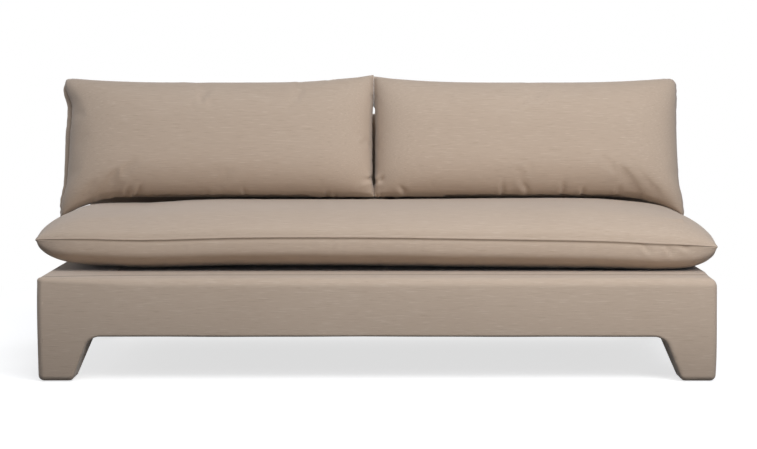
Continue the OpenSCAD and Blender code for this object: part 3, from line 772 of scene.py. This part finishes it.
making = {
    "cell": 12 * mm,  # cloth cell in the simulation
    "cloth": {"quality": 5, "mass": 0.3, "tension_stiffness": 20, "compression_stiffness": 20,
              "shear_stiffness": 8, "bending_stiffness": 2, "use_pressure": True,
              "uniform_pressure_force": 4.0},
    "lastFrame": 20,
    "cap": 24 * mm,  # how far the filling may push a point
    "broadShare": 0.15,  # of the broad swelling
    "foldShare": 0.75,  # of the small folds
    "broadReach": 2,  # cells
    "seamHold": 5,  # cells from the seam over which the sewn outline goes back to its cut
    "seamRows": [0, 0.9, 1.9, 3.2, 5, 7.5, 11, 15, 20],  # mm from the seam
    "seamDepth": 1.9 * mm,
    "seamWidth": 1.6 * mm,
    # how dark the painted shade in the cushions' seam creases is
    "paintedSeamShade": 0.45,
    "ridge": 1.0 * mm,  # the allowances lie turned inside, and lift the cloth by the seam
    "ridgeAt": 4.6 * mm,
    "ridgeWidth": 2.2 * mm,
    "foldRidge": 0.7,  # beside a fold's valley, of its depth
    "foldRidgeAt": 1.5,  # of its width
    "soft": 3 * mm,  # how gently a cushion meets what it lies on
}


def lens(share, power):
    return np.sqrt(np.maximum(0, 1 - np.abs(share) ** power))


def spread(*lengths):
    # a grid from -1 to 1 both ways, closer near the seams
    stations = [np.linspace(-1, 1, round(length / making["cell"])) for length in lengths]
    return np.meshgrid(*[np.sin(t * math.pi / 2) * 0.35 + t * 0.65 for t in stations], indexing="ij")


def roundCorners(u, v, powerU, powerV, cut):
    # the square sheet's corners are sewn round
    return (u * (1 - cut * np.abs(v) ** powerV) ** (1 / powerU),
            v * (1 - cut * np.abs(u) ** powerU) ** (1 / powerV))


def takeAway(objects):
    for obj in objects.values():
        bpy.data.objects.remove(obj)


def inflate(spec, sheets):
    # the filling swells all cushions at once, each point held to a few centimetres of its start
    starts = {name: coordinates(obj) for name, obj in sheets.items()}
    for obj in sheets.values():
        cloth = obj.modifiers.new("filling", "CLOTH")
        for setting, value in spec["cloth"].items():
            setattr(cloth.settings, setting, value)
        cloth.settings.effector_weights.gravity = 0
        cloth.point_cache.frame_end = spec["lastFrame"]
    for number in range(1, spec["lastFrame"] + 1):
        scene.frame_set(number)
    view = bpy.context.evaluated_depsgraph_get()
    settled = {}
    for name, obj in sheets.items():
        move = coordinates(obj.evaluated_get(view)) - starts[name]
        size = np.maximum(np.linalg.norm(move, axis=1), 1e-9)[:, None]
        settled[name] = starts[name] + move * spec["cap"] * np.tanh(size / spec["cap"]) / size
        print(name, "swelled by", round(float(size.max() / mm), 1), "mm at most")
    scene.frame_set(1)
    takeAway(sheets)
    return settled


def panelsOf(points, shape):
    # back from the sewn sheet's points to its two panels
    m, n = shape
    front = points[:m * n].reshape(m, n, 3)
    rear = front.copy()
    rear[1:-1, 1:-1] = points[m * n:].reshape(m - 2, n - 2, 3)
    return front, rear


def bell(reach):
    # weights that fall off on both sides
    weights = np.exp(-0.5 * (np.arange(-2 * reach, 2 * reach + 1) / reach) ** 2)
    return weights / weights.sum()


def smoothLine(line, reach):
    wide = np.pad(line, ((2 * reach, 2 * reach), (0, 0)), mode="edge")
    return sum(w * wide[k:k + len(line)] for k, w in enumerate(bell(reach)))


def blurred(front, rear, reach):
    # both panels smoothed, across the seam too
    for axis in (0, 1):
        smooth = []
        for own, other in ((front, rear), (rear, front)):
            size = own.shape[axis]
            before = np.flip(np.take(other, range(1, 2 * reach + 1), axis), axis)
            after = np.flip(np.take(other, range(size - 1 - 2 * reach, size - 1), axis), axis)
            wide = np.concatenate([before, own, after], axis)
            smooth.append(sum(w * np.take(wide, range(k, k + size), axis)
                              for k, w in enumerate(bell(reach))))
        front, rear = smooth
    return front, rear


def keepForm(spec, start, settled):
    # the cut and the filling hold the form: little of the broad swelling stays, and most of the folds
    moves = [after - before for before, after in zip(start, settled)]
    broad = blurred(*moves, spec["broadReach"])
    formed = [before + spec["foldShare"] * (move - wide) + spec["broadShare"] * wide
              for before, move, wide in zip(start, moves, broad)]
    gap = start[0] - formed[0]
    m, n = gap.shape[:2]
    fromU, fromV = [groove(np.minimum(np.arange(k), k - 1 - np.arange(k)), spec["seamHold"])
                    for k in (m, n)]
    sides = [smoothLine(line, 3) for line in (gap[0], gap[-1], gap[:, 0], gap[:, -1])]
    nearU = np.where((np.arange(m) < m / 2)[:, None, None], sides[0][None], sides[1][None])
    nearV = np.where((np.arange(n) < n / 2)[None, :, None], sides[2][:, None], sides[3][:, None])
    a, b = fromU[:, None, None], fromV[None, :, None]
    home = (a * nearU + b * nearV) / np.maximum(a + b, 1e-6) * (1 - (1 - a) * (1 - b))
    return [grid + home for grid in formed]


def reader(places, count):
    # rows that read a smooth curve through evenly numbered points
    i = np.clip(places.astype(int), 0, count - 2)
    t = places - i
    parts = [-t + 2 * t ** 2 - t ** 3, 2 - 5 * t ** 2 + 3 * t ** 3, t + 4 * t ** 2 - 3 * t ** 3,
             t ** 3 - t ** 2]
    rows = np.zeros((len(places), count + 2))
    for k, part in enumerate(parts):
        rows[np.arange(len(places)), i + k] += part / 2
    rows[:, 1] += 2 * rows[:, 0]
    rows[:, 2] -= rows[:, 0]
    rows[:, -2] += 2 * rows[:, -1]
    rows[:, -3] -= rows[:, -1]
    return rows[:, 1:-1]


def refine(spec, front, rear, cell):
    # finer panels, close rows beside the seam, and each point's distance along and across
    matrices, places = [], []
    rows = np.array(spec["seamRows"]) * mm
    for axis in (0, 1):
        middle = [np.take(grid, grid.shape[1 - axis] // 2, 1 - axis) for grid in (front, rear)]
        arc = sum(np.linalg.norm(np.diff(line, axis=0), axis=1) for line in middle) / 2
        arc = np.concatenate([[0], np.cumsum(arc)])
        inner = np.linspace(rows[-1], arc[-1] - rows[-1], round((arc[-1] - 2 * rows[-1]) / cell))[1:-1]
        at = np.concatenate([rows, inner, arc[-1] - rows[::-1]])
        matrices.append(reader(np.interp(at, arc, np.arange(len(arc))), len(arc)))
        places.append(at)
    fine = [np.einsum("ai,ijk,bj->abk", matrices[0], grid, matrices[1], optimize=True)
            for grid in (front, rear)]
    return *fine, *np.meshgrid(*places, indexing="ij")


def gridNormals(grid, sign):
    normal = np.cross(np.gradient(grid, axis=0), np.gradient(grid, axis=1)) * sign
    return normal / np.maximum(np.linalg.norm(normal, axis=2), 1e-12)[..., None]


def creases(grid, folds):
    # each fold is a valley with a soft ridge beside it: place, tilt, and length, width, depth in mm
    x, z = grid[..., 0], grid[..., 2]
    total = np.zeros_like(x)
    for placeX, placeZ, tilt, length, width, depth in folds:
        turn = math.radians(tilt)
        dx, dz = x - placeX, z - placeZ
        n = (dx * math.cos(turn) - dz * math.sin(turn)) / (width * mm)
        t = (dx * math.sin(turn) + dz * math.cos(turn)) / (length * mm)
        beside = making["foldRidge"] * groove(n + making["foldRidgeAt"], 1)
        total += depth * mm * groove(t, 1) * (beside - groove(n, 1))
    return total


def dress(spec, front, rear, along, across, puckers, seed, folds=()):
    # groove and ridge at the seam, puckers where the thread draws it in, and folds in the front panel
    edges = {"low": (along, across), "high": (along.max() - along, across), "foot": (across, along),
             "top": (across.max() - across, along)}
    toSeam = np.minimum.reduce([away for away, _ in edges.values()])
    lift = spec["ridge"] * groove(toSeam - spec["ridgeAt"], spec["ridgeWidth"])
    lift -= spec["seamDepth"] * groove(toSeam, spec["seamWidth"])
    for number, (edge, (away, s)) in enumerate(edges.items()):
        height, reach = puckers[edge]
        lift += height * wander(s, seed + number, 0.085, 0.022) * np.exp(-(away / reach)) * (
            0.55 + 0.45 * wander(s, seed + 10 + number, 0.6, 0.2))
    front = front + gridNormals(front, 1) * (lift + creases(front, folds))[..., None]
    rear = rear + gridNormals(rear, -1) * lift[..., None]
    border = (toSeam == 0)[..., None]
    return [np.where(border, (front + rear) / 2, grid) for grid in (front, rear)] + [toSeam]


def finishCushion(name, front, rear, toSeam, material):
    obj = sew(name, front, rear, material)
    # painted shade in the cover's seam crease
    paintSeamShade(obj, overBoth(making["paintedSeamShade"] * groove(toSeam, making["seamWidth"])))
    return obj


# Seat cushion

seat = {
    "seamPlaces": [-0.97, -0.85, -0.67, -0.4, -0.2, 0.05, 0.25, 0.42, 0.6, 0.7, 0.78, 0.87, 0.96],
    "seamHeights": [0.382, 0.384, 0.381, 0.3872, 0.3885, 0.3873, 0.3842, 0.3816, 0.3784, 0.3752,
                    0.3707, 0.3672, 0.3615],
    "crownPlaces": [-0.95, -0.75, -0.6, -0.3, 0.0, 0.35, 0.65, 0.95],
    "crownHeights": [0.076, 0.068, 0.0755, 0.073, 0.0735, 0.0815, 0.0875, 0.0885],
    "bellyPlaces": [-0.95, -0.5, 0.0, 0.5, 0.95],
    "bellies": [0.099, 0.101, 0.104, 0.103, 0.101],
    "noseShare": 0.58,  # of the belly in the round nose, the rest in the slope behind it
    "noseShareEnds": 0.3,  # more of it towards the ends
    "nosePower": 12,
    "slopePower": 1.2,
    "leftHalf": 0.985,
    "rightHalf": 0.982,
    "endPower": 12,
    "frontPower": 2.7,
    "rearPower": 6,
    "cornerCut": 0.155,
    "sideDraw": 2 * mm,
    "frontDraw": 4 * mm,
    "noseBulge": 10 * mm,  # the cloth stands forward under the front seam
    "noseReach": 15 * mm,
    "folds": [(0.764, 0.356, -45, 16, 7, 4), (0.828, 0.352, -30, 16, 7, 4), (0.876, 0.358, -65, 13, 7, 4)],
    "foldsWithin": 60 * mm,  # of the front
    "overDeck": 2 * mm,
    "overCore": 1.5 * mm,
    "aroundCore": 8 * mm,
    "fine": 7.5 * mm,
    "puckers": {"low": (1.0 * mm, 22 * mm), "high": (1.1 * mm, 22 * mm), "foot": (0.45 * mm, 16 * mm),
                "top": (0.6 * mm, 18 * mm)},
}


def seatSheets(spec):
    middle = (seatLow + seatHigh) / 2
    halfY = (seatHigh.y - seatLow.y) / 2
    u, v = spread(2 * spec["leftHalf"], 2 * halfY)
    powerV = np.where(v < 0, spec["frontPower"], spec["rearPower"])
    across, deep = roundCorners(u, v, spec["endPower"], powerV, spec["cornerCut"])
    half = np.where(u < 0, spec["leftHalf"], spec["rightHalf"])
    x = across * (half - spec["sideDraw"] * (1 - v ** 2))
    y = middle.y + deep * (halfY - spec["frontDraw"] * np.where(v < 0, 1 - u ** 4, 0))
    end = lens(u, spec["endPower"])
    nose, slope = lens(v, spec["nosePower"]), lens(v, spec["slopePower"])
    under = slope + (spec["noseShare"] + spec["noseShareEnds"] * u ** 8) * (nose - slope)
    under = end * np.where(v < 0, under, lens(v, spec["rearPower"]))
    seam = through(x, spec["seamPlaces"], spec["seamHeights"])
    top = seam + through(x, spec["crownPlaces"], spec["crownHeights"]) * end * lens(v, powerV)
    bottom = seam - through(x, spec["bellyPlaces"], spec["bellies"]) * under
    return [np.stack([x, y, z], -1) for z in (top, np.maximum(bottom, deckZ + spec["overDeck"]))]


def buildSeat(spec, panels, cloth):
    top, bottom, along, across = refine(making, *panels, spec["fine"])
    top, bottom, toSeam = dress(making, top, bottom, along, across, spec["puckers"], 21)
    fromNose = (bottom[..., 1] - bottom[:, :1, 1]) / spec["noseReach"]
    ends = np.clip(1 - (bottom[..., 0] / spec["leftHalf"]) ** 8, 0, 1)
    bottom[..., 1] -= spec["noseBulge"] * swelling(fromNose) * ends
    inFront = bottom[..., 1] < seatLow.y + spec["foldsWithin"]
    bottom[..., 1] -= creases(bottom, spec["folds"]) * inFront
    bottom[..., 2] = rest(bottom[..., 2], deckZ + spec["overDeck"], making["soft"])
    coreLow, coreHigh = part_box("seat_core")
    onCore = toEdge(coreLow, coreHigh, top[..., 0], top[..., 1]) > -spec["aroundCore"]
    core = np.where(onCore, coreHigh.z + spec["overCore"], 0)
    top[..., 2] = rest(top[..., 2], core, making["soft"])
    cushion = finishCushion("seatCushionCover", top, bottom, toSeam, cloth)
    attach(cushion, "seat_cushion")
    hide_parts("seat_cover", "seat_wrap")
    return cushion


# Back cushions

pillow = {
    "up": [-1, -0.76, -0.5, -0.2, 0.2, 0.6, 0.85, 1],  # from the foot to the top
    "left": {
        "outer": [-0.989, -0.981, -0.968, -0.964, -0.9615, -0.961, -0.984, -0.997],
        "inner": [-0.0095, -0.0125, -0.0150, -0.0156, -0.0153, -0.0118, -0.0112, -0.0112],
        "body": "left_back_cushion", "node": "left_pillow", "seed": 41,
        "rimShare": 1,  # the rear panel swells out past the outer seam
        "innerPeak": 28 * mm,
        "puckers": {"low": (2.4 * mm, 16 * mm), "high": (1.2 * mm, 18 * mm)},
        "folds": [(-0.774, 0.487, 35, 18, 7, 5), (-0.737, 0.492, 28, 16, 7, 5),
                  (-0.41, 0.487, -20, 13, 7, 4), (-0.156, 0.481, 10, 10, 6, 4),
                  (-0.13, 0.476, -12, 10, 6, 4), (-0.022, 0.529, 60, 9, 7, 5),
                  (-0.035, 0.512, 70, 16, 10, -2.5)],
    },
    "right": {
        "outer": [0.957, 0.952, 0.9415, 0.9385, 0.9375, 0.9405, 0.944, 0.947],
        "inner": [-0.0082, -0.0074, -0.0064, -0.006, -0.0062, -0.009, -0.0102, -0.0106],
        "body": "right_back_cushion", "node": "right_pillow", "seed": 61,
        "rimShare": 0,
        "innerPeak": 23 * mm,
        "puckers": {"low": (1.4 * mm, 18 * mm), "high": (1.1 * mm, 18 * mm)},
        "folds": [(0.08, 0.493, -39, 16, 7, 6), (0.3875, 0.4957, -5, 21, 7, 6),
                  (0.458, 0.5, -32, 20, 8, 5), (0.574, 0.4975, 0, 22, 7, 6),
                  (0.636, 0.489, 0, 12, 7, 4), (0.748, 0.493, 0, 12, 9, 4),
                  (0.0116, 0.526, 25, 11, 7, 6), (0.008, 0.511, 80, 11, 8, -2)],
    },
    "puckers": {"foot": (2.0 * mm, 30 * mm), "top": (0.5 * mm, 16 * mm)},
    "lean": 15,
    "foot": 167 * mm,
    "footZ": 471 * mm,
    "height": 365 * mm,
    "outerPeak": 20 * mm,  # the top corners stand up
    "front": 107 * mm,
    "rear": 112 * mm,
    "sidePower": 8,
    "topPower": 2.8,
    "bottomPower": 3.5,
    "cornerPowerU": 26,
    "cornerPowerV": 14,
    "cuts": {"outerTop": 0.5, "innerTop": 0.08, "outerFoot": 0.3, "innerFoot": 0.04},
    "earDrop": 76 * mm,  # the outer foot corners hang lower
    "earStart": 0.6,
    "rimReach": 14 * mm,
    "rimPlaces": [-0.95, -0.75, -0.5, -0.2, 0.2, 0.45, 0.62, 0.85],
    "rimBulges": [0.0, 0.004, 0.013, 0.017, 0.02, 0.019, 0.016, 0.0],
    "innerBulge": 20 * mm,  # behind their seams the two cushions press on each other
    "innerReach": 12 * mm,
    "meetX": -10.6 * mm,
    "closedFrom": 0.49,  # they do so from there up
    "closedBelow": -0.72,  # and from there down
    "overSeat": 1 * mm,
    "beforeBack": 2.5 * mm,
    "zipReach": 12 * mm,
    "zipBare": 1.5 * mm,
    "fine": 5.5 * mm,
}


def pillowSheets(spec, side):
    own, cuts = spec[side], spec["cuts"]
    sides = [own["outer"], own["inner"]] if side == "left" else [own["inner"], own["outer"]]
    width = sides[1][3] - sides[0][3]
    u, v = spread(width, 1.15 * spec["height"])
    outward = u < 0 if side == "left" else u > 0
    cut = np.where(v > 0, np.where(outward, cuts["outerTop"], cuts["innerTop"]),
                   np.where(outward, cuts["outerFoot"], cuts["innerFoot"]))
    across, up = roundCorners(u, v, spec["cornerPowerU"], spec["cornerPowerV"], cut)
    low, high = [through(up, spec["up"], line) for line in sides]
    x = (low + high) / 2 + across * (high - low) / 2
    ear = np.where(outward, np.maximum(0, (np.abs(u) - spec["earStart"]) / (1 - spec["earStart"])), 0)
    bottom = -spec["earDrop"] * ear ** 2
    top = spec["height"] + np.where(outward, spec["outerPeak"], own["innerPeak"]) * u ** 4
    w = bottom + (top - bottom) * (1 + up) / 2
    powerV = np.where(v < 0, spec["bottomPower"], spec["topPower"])
    full = lens(u, spec["sidePower"]) * lens(v, powerV)
    fromInner = np.where(outward, 99, (1 - np.abs(u)) * width / 2 / spec["innerReach"])
    closed = np.clip((v - spec["closedFrom"]) / 0.08, 0, 1) + np.clip((spec["closedBelow"] - v) / 0.1, 0, 1)
    bulge = spec["innerBulge"] * swelling(fromInner) * closed * np.sign(u)
    lean = math.radians(spec["lean"])
    panels = []
    for out, swell in ((-spec["front"] * full, 0), (spec["rear"] * full, bulge)):
        z = spec["footZ"] + w * math.cos(lean) - out * math.sin(lean)
        y = spec["foot"] + w * math.sin(lean) + out * math.cos(lean)
        panels.append(np.stack([x + swell, y, z], -1))
    return panels


def seatTopUnder(tree, grid):
    # height of the seat cushion under each point, or 0 beside it
    hits = [tree.ray_cast((x, y, 2.0), (0, 0, -1))[0] for x, y in grid[..., :2].reshape(-1, 2).tolist()]
    return np.array([hit.z if hit else 0 for hit in hits]).reshape(grid.shape[:2])


def bareZip(spec, grid, node):
    # the cover folds back over the zip in its lower seam
    low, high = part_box(node)
    x, y, z = grid[..., 0], grid[..., 1], grid[..., 2]
    along = np.clip((np.minimum(x - low.x, high.x - x) + 12 * mm) / (10 * mm), 0, 1)
    near = np.exp(-np.maximum(np.abs(y - (low.y + high.y) / 2) / spec["zipReach"] - 0.4, 0) ** 2 * 3)
    grid[..., 2] = z + np.maximum(low.z + spec["zipBare"] - z, 0) * along * near


def buildPillow(spec, side, panels, seatTree, cloth):
    own, soft = spec[side], making["soft"]
    front, rear, along, across = refine(making, *panels, spec["fine"])
    front, rear, toSeam = dress(making, front, rear, along, across, own["puckers"] | spec["puckers"],
                                own["seed"], own["folds"])
    away = -1 if side == "left" else 1
    fromRim = along if side == "left" else along.max() - along
    bulge = through(2 * across / across.max() - 1, spec["rimPlaces"], spec["rimBulges"]) * own["rimShare"]
    rear[..., 0] += away * bulge * swelling(fromRim / spec["rimReach"])
    for grid in (front, rear):
        fromMeeting = (grid[..., 0] - spec["meetX"]) * away
        grid[..., 0] = spec["meetX"] + away * rest(fromMeeting, 0.3 * mm, 0.4 * mm)
        grid[..., 1] = -rest(-grid[..., 1], spec["beforeBack"] - backFront(grid[..., 2]), soft)
        grid[..., 2] = rest(grid[..., 2], seatTopUnder(seatTree, grid) + spec["overSeat"], soft)
        bareZip(spec, grid, own["node"] + "_zip")
    cushion = finishCushion(side + "BackCushionCover", front, rear, toSeam, cloth)
    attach(cushion, own["body"])
    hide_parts(own["node"] + "_cover", own["node"] + "_wrap")


scene.view_settings.view_transform = "Standard"
placeCamera(camera)
buildStudio(studio)
cloth = linenWeave(linen)
made = finishNodes(finishes)
print("studio and materials ready")
buildBase(base, cloth)
buildBack(back, cloth)
buildDeckCloth(deck, cloth)
buildDustCover(dust, made["dust_cloth", None])
buildStaples(dust, made["zinc_steel", 0])
print("base and back built")

sheets = {"seat": seatSheets(seat), "left": pillowSheets(pillow, "left"),
          "right": pillowSheets(pillow, "right")}
sewn = {name: sew(name + "Sheet", *pair) for name, pair in sheets.items()}
settled = inflate(making, sewn)
panels = {name: keepForm(making, sheets[name], panelsOf(points, sheets[name][0].shape[:2]))
          for name, points in settled.items()}
print("cushions filled")

seatCushion = buildSeat(seat, panels["seat"], cloth)
seatTree = BVHTree.FromPolygons([v.co for v in seatCushion.data.vertices],
                                [p.vertices[:] for p in seatCushion.data.polygons])
for side in ("left", "right"):
    buildPillow(pillow, side, panels[side], seatTree, cloth)
print("cushions built")
